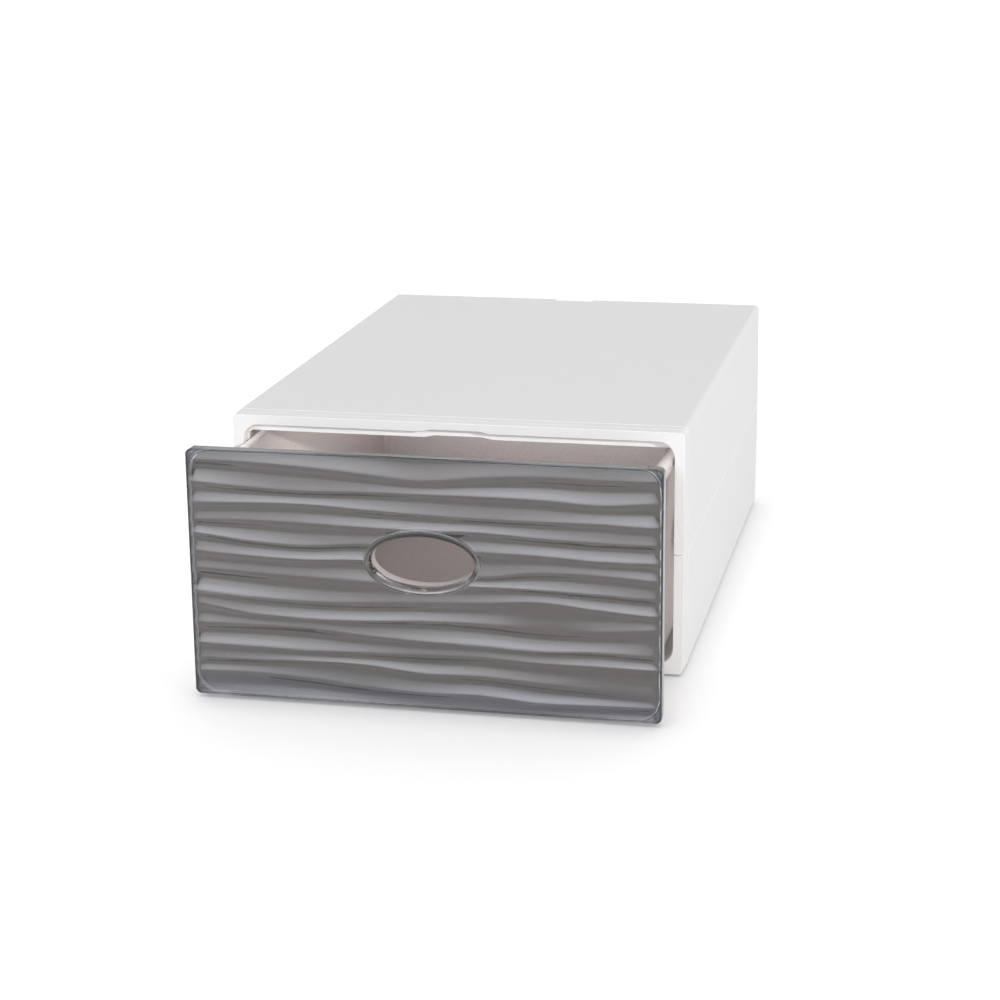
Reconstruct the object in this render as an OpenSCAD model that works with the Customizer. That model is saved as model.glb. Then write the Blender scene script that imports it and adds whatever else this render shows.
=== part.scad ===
// Stackable drawer box: a two-part cabinet and a drawer with a clear wavy front.
// Millimetres, +Z up, the front faces -Y. The origin lies on the resting plane,
// under the middle of the cabinet. The drawer is drawn pulled out by drawer_out.

/* [Cabinet] */
// Width of the cabinet along its top and bottom edges
cab_w = 285; // [240:5:340]
// Depth of the cabinet
cab_d = 405; // [340:5:460]
// Height of the cabinet without its foot pads
cab_h = 155; // [130:5:200]
// Thickness of the cabinet's walls
wall = 2.4; // [2.2:0.1:3]
// How far each side wall leans out on its way to the seam
draft = 0.6; // [0.2:0.1:1]
// Radius of the long edges of the roof and the floor
edge_r = 3.6; // [3:0.1:6]
// Radius of the edges of the back wall
rear_r = 2; // [1:0.1:3]

/* [Front frame] */
// Width of the frame beside the opening
frame_side = 6.9; // [6:0.1:9]
// Height of the sill under the opening
frame_sill = 7.3; // [6.5:0.1:9]
// Height of the frame over the opening
frame_top = 7; // [6:0.1:9]
// Depth of each of the two steps round the frame
step_d = 6.6; // [5:0.1:8]
// Height of each of the two steps
step_h = 0.35; // [0.2:0.05:0.5]
// Corner radius of the opening
open_r = 10; // [8:0.5:14]
// Depth of the return wall behind the opening's edge
return_d = 10; // [7:0.5:14]
// Thickness of the return wall and of the inner lip
lip_t = 2; // [1.6:0.1:2.4]
// How far the inner lip hangs below the opening's top edge
lip_drop = 5.7; // [4:0.1:7]
// How far the inner lip stands in from the opening's side edges
lip_side = 0.6; // [0.4:0.1:1]
// Radius of the inner lip's upper corners
lip_r = 3.5; // [2:0.1:6]
// Width of the notch in the middle of the opening's top edge
notch_w = 30; // [20:1:40]
// How far each end of the notch slopes
notch_slope = 6.2; // [3:0.1:8]
// Height of the notch
notch_h = 1.4; // [1:0.1:2]
// Height of the small wedges on the lip's sides
nub_h = 5.7; // [4:0.1:8]
// How far the wedges stand in from the lip
nub_w = 2.6; // [1.5:0.1:3]
// Height of the wedges' lower end above the seam
nub_rise = 4.3; // [3.5:0.1:8]

/* [Seam] */
// Gap between the two shells at the seam
seam_gap = 0.2; // [0.1:0.05:0.4]
// Depth of the fine groove along the seam
seam_v = 0.5; // [0.3:0.1:0.8]
// Thickness of the tongue that laps into the upper shell
tongue_t = 1; // [0.8:0.1:1.1]
// Height of the tongue
tongue_h = 3; // [2:0.1:4]
// Clearance round the tongue
lap_clear = 0.2; // [0.15:0.05:0.3]
// Number of snap tabs along each side
snap_n = 4; // [2:1:6]
// Length of a snap tab
snap_w = 16; // [10:1:24]
// Thickness of a snap tab
snap_t = 1.6; // [1.2:0.1:2]
// Height of a snap tab above the seam
snap_h = 10; // [8:0.5:12]
// How far a snap tab's barb stands out
barb = 1; // [0.8:0.1:1.2]

/* [Back and underside] */
// Width of the notch in the back edge of the roof
rear_notch_w = 29.5; // [20:0.5:40]
// How far the notch cuts into the roof
rear_notch_d = 6.4; // [4:0.1:10]
// How far the notch runs down the back wall
rear_notch_h = 10; // [6:0.5:14]
// Height of the step at the notch's floor, inside the cabinet
notch_floor_t = 2; // [1.6:0.1:2.4]
// Distance of the runner rails from the middle
rail_x = 112; // [90:1:112]
// Width of a runner rail
rail_w = 3; // [2:0.5:5]
// Diameter of a foot pad
pad_dia = 14; // [10:1:20]
// How far a foot pad stands out of the floor
pad_proud = 0.8; // [0.5:0.1:2]
// Depth of a foot pad's recess
pad_recess = 0.8; // [0.5:0.1:1.2]
// Clearance round a foot pad
pad_clear = 0.3; // [0.2:0.1:0.5]
// Distance of a foot pad's middle from the cabinet's edges
pad_inset = 24; // [16:1:40]

/* [Drawer] */
// How far the drawer is pulled out as drawn
drawer_out = 80; // [0:5:200]
// Gap between the closed drawer's front plate and the frame
closed_gap = 0.3; // [0.2:0.1:1]
// Clearance between the drawer's rim and the lip, on each side
side_clear = 0.6; // [0.4:0.1:1]
// Clearance under the drawer
run_clear = 0.3; // [0.2:0.1:0.5]
// Height of the free space over the drawer's rim
rim_clear = 5.3; // [4:0.1:8]
// Free depth behind the closed drawer
rear_space = 20; // [10:1:60]
// Thickness of the drawer's walls
tray_wall = 2.2; // [1.8:0.1:2.6]
// How far each side wall of the drawer leans out towards its rim
tray_draft = 1.8; // [1:0.1:3]
// Radius of the drawer's lower edges
tray_r = 3.5; // [3:0.1:6]
// Radius of the drawer's rear corners, seen from above
tray_corner_r = 8; // [5:0.5:14]
// Height of the fine step round the drawer's foot
foot_h = 6.4; // [5:0.1:10]
// Depth of that step
foot_in = 0.5; // [0.3:0.1:0.8]
// How far the rim overhangs the walls
flange = 5.1; // [4:0.1:5.1]
// Thickness of the rim
rim_t = 2.2; // [1.8:0.1:2.6]
// Height of the rim's turned-down edge
rim_h = 4.6; // [3.5:0.1:6]
// Thickness of the rim's turned-down edge
rim_edge = 1.8; // [1.4:0.1:2.2]
// Radius of the rim's upper edge, as a share of that thickness
rim_round = 0.8; // [0.2:0.1:0.9]
// Width of the stop tab on the back of the rim
stop_w = 28; // [16:1:28]
// Thickness of the stop tab
stop_t = 2.5; // [2:0.1:3]
// How far the stop tab reaches up behind the lip
stop_reach = 3.7; // [3:0.1:5]

/* [Drawer front] */
// Thickness of the front plate
plate_t = 2.2; // [1.8:0.1:3]
// Corner radius of the front plate
plate_r = 11; // [8:0.5:14]
// How far the plate covers the frame at each side
plate_side = 3.4; // [2:0.1:3.5]
// How far the plate covers the sill
plate_low = 2.5; // [1.5:0.1:3]
// How far the plate covers the frame over the opening
plate_high = 3.5; // [2:0.1:3.6]
// Half width of the finger hole
hole_a = 31.3; // [26:0.1:40]
// Half height of the finger hole
hole_b = 15.3; // [12:0.1:20]
// Height of the finger hole's middle above the floor's underside
hole_rise = 91.5; // [70:0.5:100]

/* [Clear cover] */
// Clearance between the cover and the edge of the plate
cover_clear = 0.25; // [0.15:0.05:0.4]
// Width of the cover's skirt round the plate
skirt_w = 2.75; // [2:0.05:3]
// Outer corner radius of the cover
cover_r = 3.75; // [3:0.25:6]
// Gap between the cover and the front of the plate
cover_gap = 0.1; // [0.05:0.05:0.3]
// Thickness of the cover in front of the plate, with its waves
cover_t = 6.1; // [5:0.1:8]
// Distance from one wave to the next
wave_pitch = 10.9; // [9:0.1:14]
// Radius of the round flutes that form the waves
wave_r = 20; // [16:1:26]
// Depth of the deepest waves
wave_d = 1.6; // [1:0.1:2]
// Greatest slant of a wave
wave_slant = 1.2; // [0:0.1:2]
// Greatest shift of a wave, as a share of the distance between two
wave_shift = 0.15; // [0:0.05:0.25]
// Width of the rounded bead round the finger hole
bead_w = 3.85; // [3:0.05:5]
// Height of the same bead over and under the hole
bead_h = 4.85; // [3:0.05:5.5]

/* [Hidden] */

// Steps in a quarter of a round corner, round the finger hole and down its funnel
arc_n = 8;
hole_n = 48;
funnel_n = 3;
// Facets round a foot pad and round a flute
pad_n = 64;
flute_n = 96;
// Steps of the angles from which each flute's slant and shift are worked out
slant_step = 137;
shift_step = 101;
shift_start = 40;
// Least radius that a rounded edge keeps
least_r = 0.5;
// Flat land left on the crest of the bead round the finger hole
bead_land = 0.4;
// How far a cutting shape runs past what it cuts
past = 1;

base_z = pad_proud;
top_z = base_z + cab_h;
seam_z = base_z + cab_h / 2;
front_y = -cab_d / 2;
rear_y = cab_d / 2;
floor_z = base_z + wall;

open_x = cab_w / 2 - frame_side;
sill_z = base_z + frame_sill;
head_z = top_z - frame_top;
lip_x = open_x - lip_side;
lip_z = head_z - lip_drop;
lip_y = front_y + return_d;
lip_back_y = lip_y + lip_t;
// Half width between the side walls' inner faces at the seam
inner_x = cab_w / 2 + draft - wall;
// A snap barb has a ramp of twice its depth above, a land of its depth, and the same again below
snap_z = seam_z + snap_h;
barb_z = snap_z - 2 * barb;
barb_low_z = barb_z - barb;
snap_low_z = barb_low_z - barb;

plate_back_y = front_y - closed_gap;
plate_front_y = plate_back_y - plate_t;
plate_x = open_x + plate_side;
plate_z0 = sill_z - plate_low;
plate_z1 = head_z + plate_high;
hole_z = base_z + hole_rise;

rim_x = lip_x - side_clear;
rim_z = lip_z - rim_clear;
tray_z = sill_z + run_clear;
tray_top_x = rim_x - flange;
tray_rear_y = rear_y - rear_space;

cover_x = plate_x + cover_clear + skirt_w;
cover_z0 = plate_z0 - cover_clear - skirt_w;
cover_z1 = plate_z1 + cover_clear + skirt_w;
cover_back_y = plate_front_y - cover_gap;
cover_face_y = cover_back_y - cover_t;

pads = [["front_left", -1, -1], ["front_right", 1, -1], ["rear_left", -1, 1], ["rear_right", 1, 1]];

// ---- Outlines -------------------------------------------------------------

// Points of an arc round (x, z)
function arc(x, z, r, a0, a1) =
  [for (i = [0:arc_n]) let (a = a0 + (a1 - a0) * i / arc_n) [x + r * cos(a), z + r * sin(a)]];

// The right half of an outline, completed by its mirror image
function mirrored(p) = concat(p, [for (i = [len(p) - 1:-1:0]) [-p[i][0], p[i][1]]]);

// Rectangle from z0 to z1 with round lower and upper corners
function round_box(hx, z0, z1, r0, r1) =
  mirrored(concat(arc(hx - r0, z0 + r0, r0, -90, 0), arc(hx - r1, z1 - r1, r1, 0, 90)));

// Front view of the cabinet, d inside its outer faces
function cab_outline(d) =
  let (hx = cab_w / 2 - d, r = max(edge_r - d, least_r), z0 = base_z + d, z1 = top_z - d)
  mirrored(concat(
    arc(hx - r, z0 + r, r, -90, 0),
    [[hx + draft, seam_z]],
    arc(hx - r, z1 - r, r, 0, 90)
  ));

// The cabinet from above at the seam, d inside its outer faces
function plan_outline(d) =
  let (hx = cab_w / 2 + draft - d, y1 = rear_y - d, r = max(rear_r + draft - d, least_r))
  mirrored(concat([[hx, front_y + min(d, 0)]], arc(hx - r, y1 - r, r, 0, 90)));

// The cabinet from the side, with round rear edges
function side_outline() = concat(
  [[front_y, base_z]],
  arc(rear_y - rear_r, base_z + rear_r, rear_r, -90, 0),
  arc(rear_y - rear_r, top_z - rear_r, rear_r, 0, 90),
  [[front_y, top_z]]
);

// The notch in the middle of the opening's top edge, right half
function head_notch(z) = [[notch_w / 2 + notch_slope, z], [notch_w / 2, z + notch_h]];

// The opening, d outside its edge
function opening(d) =
  let (hx = open_x + d, r = open_r + d, z0 = sill_z - d, z1 = head_z + d)
  mirrored(concat(arc(hx - r, z0 + r, r, -90, 0), arc(hx - r, z1 - r, r, 0, 90), head_notch(z1)));

// The way through the inner lip
function lip_outline() = mirrored(concat(
  arc(lip_x - open_r, sill_z + open_r, open_r, -90, 0),
  arc(lip_x - lip_r, lip_z - lip_r, lip_r, 0, 90),
  head_notch(lip_z)
));

// Half width of the drawer's body at height z
function tray_x(z) = tray_top_x - tray_draft * (rim_z - z) / (rim_z - tray_z);

// Front view of the drawer's body
function tray_outline() =
  let (x0 = tray_x(tray_z) - foot_in, z1 = tray_z + foot_h)
  mirrored(concat(
    arc(x0 - tray_r, tray_z + tray_r, tray_r, -90, 0),
    [[tray_x(z1) - foot_in, z1], [tray_x(z1), z1], [tray_top_x, rim_z]]
  ));

// Front view of the drawer's inside
function tray_inside() =
  let (z0 = tray_z + tray_wall, x0 = tray_x(z0) - foot_in - tray_wall, r = tray_r - foot_in)
  mirrored(concat(
    arc(x0 - r, z0 + r, r, -90, 0),
    [[tray_top_x - tray_wall, rim_z], [tray_top_x - tray_wall, rim_z + past]]
  ));

// The drawer from above, with round rear corners
function tray_plan(hx, y1, r) =
  mirrored(concat([[hx, plate_back_y - plate_t / 2]], arc(hx - r, y1 - r, r, 0, 90)));

// Ellipse round the finger hole's middle, w wider and h higher than the hole
function finger_oval(w, h) =
  [for (i = [0:hole_n - 1]) let (a = 360 * i / hole_n)
    [(hole_a + w) * cos(a), hole_z + (hole_b + h) * sin(a)]];

// ---- Helpers --------------------------------------------------------------

// Extrudes a front view from y0 back to y1
module along_y(y0, y1) {
  translate([0, y1, 0]) rotate([90, 0, 0]) linear_extrude(y1 - y0) children();
}

// Extrudes a side view across the cabinet
module along_x(x0, x1) {
  translate([x0, 0, 0]) rotate([90, 0, 90]) linear_extrude(x1 - x0) children();
}

// Extrudes a plan from z0 up to z1
module along_z(z0, z1) {
  translate([0, 0, z0]) linear_extrude(z1 - z0) children();
}

// A block from one corner to the other
module block(a, b) {
  translate(a) cube(b - a);
}

// Everything on one side of the seam, between the heights z0 and z1
module slice(z0, z1) {
  block([-cab_w, front_y - past, z0], [cab_w, rear_y + past, z1]);
}

// ---- Cabinet --------------------------------------------------------------

// The cabinet's outer form, with the two steps round its front
module cabinet_solid() {
  intersection() {
    union() {
      along_y(front_y, front_y + step_d) polygon(cab_outline(2 * step_h));
      along_y(front_y + step_d, front_y + 2 * step_d) polygon(cab_outline(step_h));
      along_y(front_y + 2 * step_d, rear_y) polygon(cab_outline(0));
    }
    along_z(base_z - past, top_z + past) polygon(plan_outline(0));
    along_x(-cab_w, cab_w) polygon(side_outline());
  }
}

// The wall that runs back from the opening's edge, and the lip at its end
module frame_return() {
  difference() {
    along_y(front_y + wall / 2, lip_back_y) polygon(opening(lip_t));
    along_y(front_y, lip_y) polygon(opening(0));
    along_y(front_y, lip_back_y + past) polygon(lip_outline());
  }
}

// The small wedges on the lip's sides, just above the seam
module lip_nubs() {
  z0 = seam_z + nub_rise;
  for (s = [-1, 1]) {
    along_y(lip_y, lip_back_y)
      polygon([
        [s * (lip_x + lip_side), z0], [s * lip_x, z0], [s * (lip_x - nub_w), z0 + nub_h / 3],
        [s * lip_x, z0 + nub_h], [s * (lip_x + lip_side), z0 + nub_h]
      ]);
  }
}

// The notch in the back edge of the roof, with d of wall round it
module rear_notch(d) {
  block(
    [-rear_notch_w / 2 - d, rear_y - rear_notch_d - d, top_z - rear_notch_h - d],
    [rear_notch_w / 2 + d, rear_y + (d > 0 ? -wall / 2 : past), top_z + (d > 0 ? -wall / 2 : past)]
  );
}

// Both shells in one, before the seam parts them
module cabinet_walls() {
  difference() {
    union() {
      difference() {
        cabinet_solid();
        along_y(front_y + wall, rear_y - wall) polygon(cab_outline(wall));
      }
      frame_return();
      rear_notch(notch_floor_t);
    }
    along_y(front_y - past, lip_y) polygon(opening(0));
    rear_notch(0);
    seam_groove();
  }
}

// Fine groove along the seam, at the sides and the back
module seam_groove() {
  hx = cab_w / 2 + draft;
  for (s = [-1, 1]) {
    along_y(front_y - past, rear_y + past)
      polygon([
        [s * (hx + seam_v), seam_z - 2 * seam_v], [s * (hx - seam_v), seam_z],
        [s * (hx + seam_v), seam_z + 2 * seam_v]
      ]);
  }
  along_x(-cab_w, cab_w)
    polygon([
      [rear_y + seam_v, seam_z - 2 * seam_v], [rear_y - seam_v, seam_z],
      [rear_y + seam_v, seam_z + 2 * seam_v]
    ]);
}

// Ring along the side and back walls, between two depths from their outer faces
module lap_ring(d0, d1, z0, z1, y0) {
  difference() {
    along_z(z0, z1) polygon(plan_outline(d0));
    along_z(z0 - past, z1 + past) polygon(plan_outline(d1));
    block([-cab_w, front_y - past, z0 - past], [cab_w, y0, z1 + past]);
  }
}

// Places of the snap tabs along one side
function snap_ys() = [for (i = [0:snap_n - 1]) front_y + cab_d * (i + 0.5) / snap_n];

// One snap tab on the inner face of the right side wall
module snap_tab(y) {
  y0 = y - snap_w / 2;
  y1 = y + snap_w / 2;
  x1 = inner_x - lap_clear;
  root_z = seam_z - snap_h;
  block([x1 - snap_t, y0, root_z], [x1, y1, snap_z]);
  block([x1 - snap_t / 2, y0, root_z], [inner_x + wall / 4, y1, seam_z - past]);
  along_y(y0, y1)
    polygon([
      [x1 - snap_t / 2, snap_z], [x1, snap_z], [x1 + barb, barb_z],
      [x1 + barb, barb_low_z], [x1, snap_low_z], [x1 - snap_t / 2, snap_low_z]
    ]);
}

// The pocket in the upper shell that takes a tab's barb
module snap_pocket(y) {
  block(
    [inner_x - wall, y - snap_w / 2 - lap_clear, snap_low_z - lap_clear],
    [inner_x + barb, y + snap_w / 2 + lap_clear, snap_z + lap_clear]
  );
}

// Runner rail under the drawer
module rail(s) {
  block(
    [s * rail_x - rail_w / 2, lip_back_y - lip_t / 2, floor_z - wall / 2],
    [s * rail_x + rail_w / 2, rear_y - wall / 2, sill_z]
  );
}

module upper_shell() {
  lap_y = front_y + 2 * step_d;
  color("#eeeeef") {
    difference() {
      intersection() {
        cabinet_walls();
        slice(seam_z + seam_gap / 2, top_z + past);
      }
      lap_ring(
        wall - tongue_t - lap_clear, 2 * wall,
        seam_z - past, seam_z + tongue_h + lap_clear, lap_y - lap_clear
      );
      for (y = snap_ys()) {
        snap_pocket(y);
        mirror([1, 0, 0]) snap_pocket(y);
      }
    }
    lip_nubs();
  }
}

module lower_shell() {
  color("#ececef") {
    difference() {
      union() {
        intersection() {
          cabinet_walls();
          slice(base_z - past, seam_z - seam_gap / 2);
        }
        lap_ring(wall - tongue_t, wall, seam_z - past, seam_z + tongue_h, front_y + 2 * step_d);
        rail(-1);
        rail(1);
        for (y = snap_ys()) {
          snap_tab(y);
          mirror([1, 0, 0]) snap_tab(y);
        }
      }
      for (p = pads) {
        pad_at(p) translate([0, 0, base_z - past])
          cylinder(d = pad_dia + 2 * pad_clear, h = pad_recess + past, $fn = pad_n);
      }
    }
  }
}

// Puts a shape at a foot pad's place
module pad_at(p) {
  translate([p[1] * (cab_w / 2 - pad_inset), p[2] * (cab_d / 2 - pad_inset), 0]) children();
}

module foot_pad(i) {
  color("#77777a") pad_at(pads[i]) cylinder(d = pad_dia, h = base_z + pad_recess, $fn = pad_n);
}

// ---- Drawer ---------------------------------------------------------------

// Rim round the sides and the back, open underneath
module tray_rim() {
  r = rim_edge * rim_round;
  intersection() {
    difference() {
      along_z(rim_z - rim_h, rim_z) polygon(tray_plan(rim_x, tray_rear_y, tray_corner_r + flange));
      along_z(rim_z - rim_h - past, rim_z - rim_t)
        polygon(tray_plan(rim_x - rim_edge, tray_rear_y - rim_edge, tray_corner_r + flange - rim_edge));
    }
    along_y(front_y - cab_d, rear_y)
      polygon(mirrored(concat([[rim_x, rim_z - 2 * rim_h]], arc(rim_x - r, rim_z - r, r, 0, 90))));
  }
}

// Tab at the back of the rim that meets the lip when the drawer is pulled out
module stop_tab() {
  block(
    [-stop_w / 2, tray_rear_y - stop_t, rim_z - rim_t / 2],
    [stop_w / 2, tray_rear_y, lip_z + stop_reach]
  );
}

module drawer_tray() {
  body_y = tray_rear_y - flange;
  color("#b3a8a3") translate([0, -drawer_out, 0]) {
    difference() {
      union() {
        intersection() {
          along_y(plate_back_y - plate_t / 2, body_y) polygon(tray_outline());
          along_z(tray_z - past, rim_z + past) polygon(tray_plan(tray_top_x, body_y, tray_corner_r));
        }
        tray_rim();
        stop_tab();
        along_y(plate_front_y, plate_back_y)
          polygon(round_box(plate_x, plate_z0, plate_z1, plate_r, plate_r));
      }
      intersection() {
        along_y(plate_back_y, body_y - tray_wall) polygon(tray_inside());
        along_z(tray_z, rim_z + 2 * past)
          polygon(tray_plan(tray_top_x - tray_wall, body_y - tray_wall, tray_corner_r - tray_wall));
      }
      along_y(plate_front_y - past, plate_back_y + past) polygon(finger_oval(0, 0));
    }
  }
}

// ---- Clear cover ----------------------------------------------------------

// Height of the lowest flute, and how many follow
wave_z0 = cover_z0 - wave_pitch / 3;
waves_n = ceil((cover_z1 + wave_pitch / 3 - wave_z0) / wave_pitch);

// One long round flute across the face; neighbours lie at slightly different slants and cross in crisp crests
module flute(k) {
  slant = wave_slant * sin(slant_step * k);
  lift = wave_pitch * wave_shift * sin(shift_step * k + shift_start);
  translate([0, cover_face_y + wave_d - wave_r, wave_z0 + wave_pitch * k + lift])
    rotate([0, 90 - slant, 0]) cylinder(r = wave_r, h = 3 * cover_x, center = true, $fn = flute_n);
}

// Funnel with a rounded edge, cut from the front through the bead to the finger hole
module funnel() {
  rings = concat(
    [for (i = [0:funnel_n]) let (a = 90 * i / funnel_n, open = 1 - sin(a), deep = 1 - cos(a))
      [(bead_w - bead_land) * open, (bead_h - bead_land) * open, cover_face_y + bead_w * deep]],
    [[0, 0, cover_back_y + past]]
  );
  last = len(rings) - 1;
  // In front of the face the funnel goes on straight
  all = concat([[bead_w - bead_land, bead_h - bead_land, cover_face_y - past]], rings);
  points = [for (r = all, p = finger_oval(r[0], r[1])) [p[0], r[2], p[1]]];
  polyhedron(
    points = points,
    faces = concat(
      [[for (i = [0:hole_n - 1]) hole_n - 1 - i]],
      [for (k = [0:last], i = [0:hole_n - 1]) let (a = k * hole_n, j = (i + 1) % hole_n)
        [a + i, a + j, a + hole_n + j, a + hole_n + i]],
      [[for (i = [0:hole_n - 1]) (last + 1) * hole_n + i]]
    )
  );
}

module front_cover() {
  color("#8d8d91", 0.75) translate([0, -drawer_out, 0]) {
    difference() {
      union() {
        difference() {
          along_y(cover_face_y, cover_back_y)
            polygon(round_box(cover_x, cover_z0, cover_z1, cover_r, cover_r));
          for (k = [0:waves_n]) flute(k);
        }
        along_y(cover_face_y, cover_back_y) polygon(finger_oval(bead_w, bead_h));
        difference() {
          along_y(cover_back_y - past, plate_back_y)
            polygon(round_box(cover_x, cover_z0, cover_z1, cover_r, cover_r));
          along_y(cover_back_y, plate_back_y + past)
            polygon(round_box(
              plate_x + cover_clear, plate_z0 - cover_clear, plate_z1 + cover_clear,
              plate_r + cover_clear, plate_r + cover_clear
            ));
        }
      }
      funnel();
    }
  }
}

upper_shell();
lower_shell();
drawer_tray();
front_cover();
foot_pad(0);  // foot_pad_front_left
foot_pad(1);  // foot_pad_front_right
foot_pad(2);  // foot_pad_rear_left
foot_pad(3);  // foot_pad_rear_right
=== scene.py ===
# %% [markdown]
# A stackable drawer box: a white cabinet of two half shells, a taupe drawer pulled part way out, and a
# thick smoky clear cover with a relief of waves over the drawer's front. The cabinet, the drawer and the
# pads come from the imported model, and get soft edges here. The clear cover is modelled anew, because the
# real one has finer waves than its solid holds.

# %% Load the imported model
import math
import bmesh
import bpy
from mathutils import Matrix, Vector


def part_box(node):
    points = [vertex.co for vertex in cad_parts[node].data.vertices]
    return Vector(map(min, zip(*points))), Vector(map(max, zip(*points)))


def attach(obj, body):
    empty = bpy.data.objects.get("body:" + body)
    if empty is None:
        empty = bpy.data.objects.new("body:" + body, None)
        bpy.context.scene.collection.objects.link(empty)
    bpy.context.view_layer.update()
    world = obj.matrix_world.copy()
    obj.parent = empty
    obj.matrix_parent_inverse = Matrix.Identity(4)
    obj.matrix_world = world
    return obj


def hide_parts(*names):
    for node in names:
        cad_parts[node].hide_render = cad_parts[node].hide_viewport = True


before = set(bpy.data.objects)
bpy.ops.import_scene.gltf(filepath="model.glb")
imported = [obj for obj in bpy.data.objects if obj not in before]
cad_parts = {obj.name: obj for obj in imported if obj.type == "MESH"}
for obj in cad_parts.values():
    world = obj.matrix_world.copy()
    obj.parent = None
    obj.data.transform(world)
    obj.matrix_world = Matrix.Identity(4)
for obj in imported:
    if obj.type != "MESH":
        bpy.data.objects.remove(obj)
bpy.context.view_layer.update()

MM = 0.001
scene = bpy.context.scene
print("nodes:", sorted(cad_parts))

# %% [markdown]
# All sizes are in millimetres, and turned into metres where a point is made. They could all be written
# here, but the places of the planes that matter are read from the model, so that nothing has to repeat how
# far the drawer is pulled out. The plate is the drawer's own front, which the cover's skirt runs round.

# %% Sizes
cover_low, cover_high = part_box("front_cover")
shell_low, shell_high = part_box("upper_shell")

COVER_FACE = cover_low.y / MM
COVER_X = cover_high.x / MM
COVER_Z0 = cover_low.z / MM
COVER_Z1 = cover_high.z / MM
COVER_MIDDLE = (COVER_Z0 + COVER_Z1) / 2
COVER_R = 3.75
PLATE_BACK = cover_high.y / MM
PLATE_THICK = 2.2
PLATE_FRONT = PLATE_BACK - PLATE_THICK
PLATE_R = 11.0
PLATE_IN = 3.0
PLATE_GROW = 1.15
PLATE_CLEAR = 0.25
RIM = PLATE_IN - PLATE_GROW - PLATE_CLEAR
COVER_GAP = 0.1
COVER_BACK = PLATE_FRONT - COVER_GAP
HOLE_A = 31.3
HOLE_B = 15.3
HOLE_Z = 92.3
BEAD_W = 3.85
BEAD_H = 4.85
FRAME_FRONT = shell_low.y / MM
SEAM = shell_low.z / MM
CABINET_SIDE = 140
print("cover from", round(COVER_FACE, 2), "to", round(COVER_BACK, 2), "frame at", round(FRAME_FRONT, 2))

# %% [markdown]
# The camera stands where the photographer stood, worked out from the cabinet's and the cover's edges:
# about 1.35 m in front, a little to the right, looking down by under 16 degrees. Its three axes are made
# from the angles by hand, because that keeps each angle a number that can be tuned by itself.

# %% Camera
CAMERA_AT = Vector((323.58, -1550.24, 495.2)) * MM
LENS = 84.11
SENSOR = 36
NEAREST = 0.05
FURTHEST = 20
PITCH = math.radians(15.68)
YAW = math.radians(12.368)
ROLL = math.radians(-0.5726)


def camera_axes(pitch, yaw, roll):
    forward = Vector((-math.sin(yaw) * math.cos(pitch), math.cos(yaw) * math.cos(pitch), -math.sin(pitch)))
    right = Vector((math.cos(yaw), math.sin(yaw), 0))
    up = right.cross(forward)
    turned = math.cos(roll) * right + math.sin(roll) * up
    return turned, -math.sin(roll) * right + math.cos(roll) * up, forward


right, up, forward = camera_axes(PITCH, YAW, ROLL)
camera = bpy.data.objects.new("camera", bpy.data.cameras.new("camera"))
scene.collection.objects.link(camera)
camera.data.lens = LENS
camera.data.sensor_width = SENSOR
camera.data.clip_start = NEAREST
camera.data.clip_end = FURTHEST
turn = Matrix((right, up, -forward)).transposed()
camera.matrix_world = Matrix.Translation(CAMERA_AT) @ turn.to_4x4()
scene.camera = camera
print("camera at", tuple(round(v, 3) for v in camera.location), "lens", LENS)

# %% [markdown]
# Shader maths reads best as plain expressions. This class wraps a socket, and each operator on it adds the
# Math node that it stands for, so `0.3 + 0.2 * noise` builds the same nodes that one would draw by hand.
# Every other node comes from its method `node`. A socket is named in words, or `_0` for the first one.


# %% A socket that can be calculated with
class Value:
    def __init__(self, tree, socket=None):
        self.tree = tree
        self.socket = socket

    def node(self, kind, output, settings=None, **inputs):
        """Adds a node, first its settings and then its sockets, and returns the output asked for."""
        made = self.tree.nodes.new(kind)
        for key, value in (settings or {}).items():
            setattr(made, key, value)
        for key, value in inputs.items():
            socket = made.inputs[int(key[1:])] if key[0] == "_" else made.inputs[key.replace("_", " ")]
            if isinstance(value, Value):
                self.tree.links.new(value.socket, socket)
            else:
                socket.default_value = value
        return Value(self.tree, made.outputs[output])

    def split(self):
        """The three parts of a place or a direction."""
        first = self.node("ShaderNodeSeparateXYZ", 0, Vector=self)
        return [Value(self.tree, socket) for socket in first.socket.node.outputs]

    def math(self, operation, other=0.0, swap=False, clamp=False):
        a, b = (other, self) if swap else (self, other)
        return self.node("ShaderNodeMath", 0, {"operation": operation, "use_clamp": clamp}, _0=a, _1=b)

    def __add__(self, other):
        return self.math("ADD", other)

    __radd__ = __add__

    def __mul__(self, other):
        return self.math("MULTIPLY", other)

    __rmul__ = __mul__

    def __sub__(self, other):
        return self.math("SUBTRACT", other)

    def __rsub__(self, other):
        return self.math("SUBTRACT", other, swap=True)

    def clamped(self):
        return self.math("ADD", 0.0, clamp=True)


# %% [markdown]
# Every finish starts from the same two things: the surface shader and the object coordinates. Below are
# the few patterns that all of them share. Noise gives patches, a ramp stretches a value between two ends,
# and a stroke is a soft line of a given place and half width, for which a picture would need a texture.


# %% Helpers for finishes
def new_finish(name):
    material = bpy.data.materials.new(name)
    material.use_nodes = True
    tree = material.node_tree
    return material, tree.nodes["Principled BSDF"], Value(tree).node("ShaderNodeTexCoord", "Object")


def noise(place, scale, detail=2.0):
    return place.node("ShaderNodeTexNoise", "Fac", Vector=place, Scale=scale, Detail=detail, Roughness=0.5)


def ramp(value, low, high, shape="SMOOTHSTEP"):
    settings = {"interpolation_type": shape}
    return value.node("ShaderNodeMapRange", 0, settings, Value=value, From_Min=low, From_Max=high)


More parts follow.
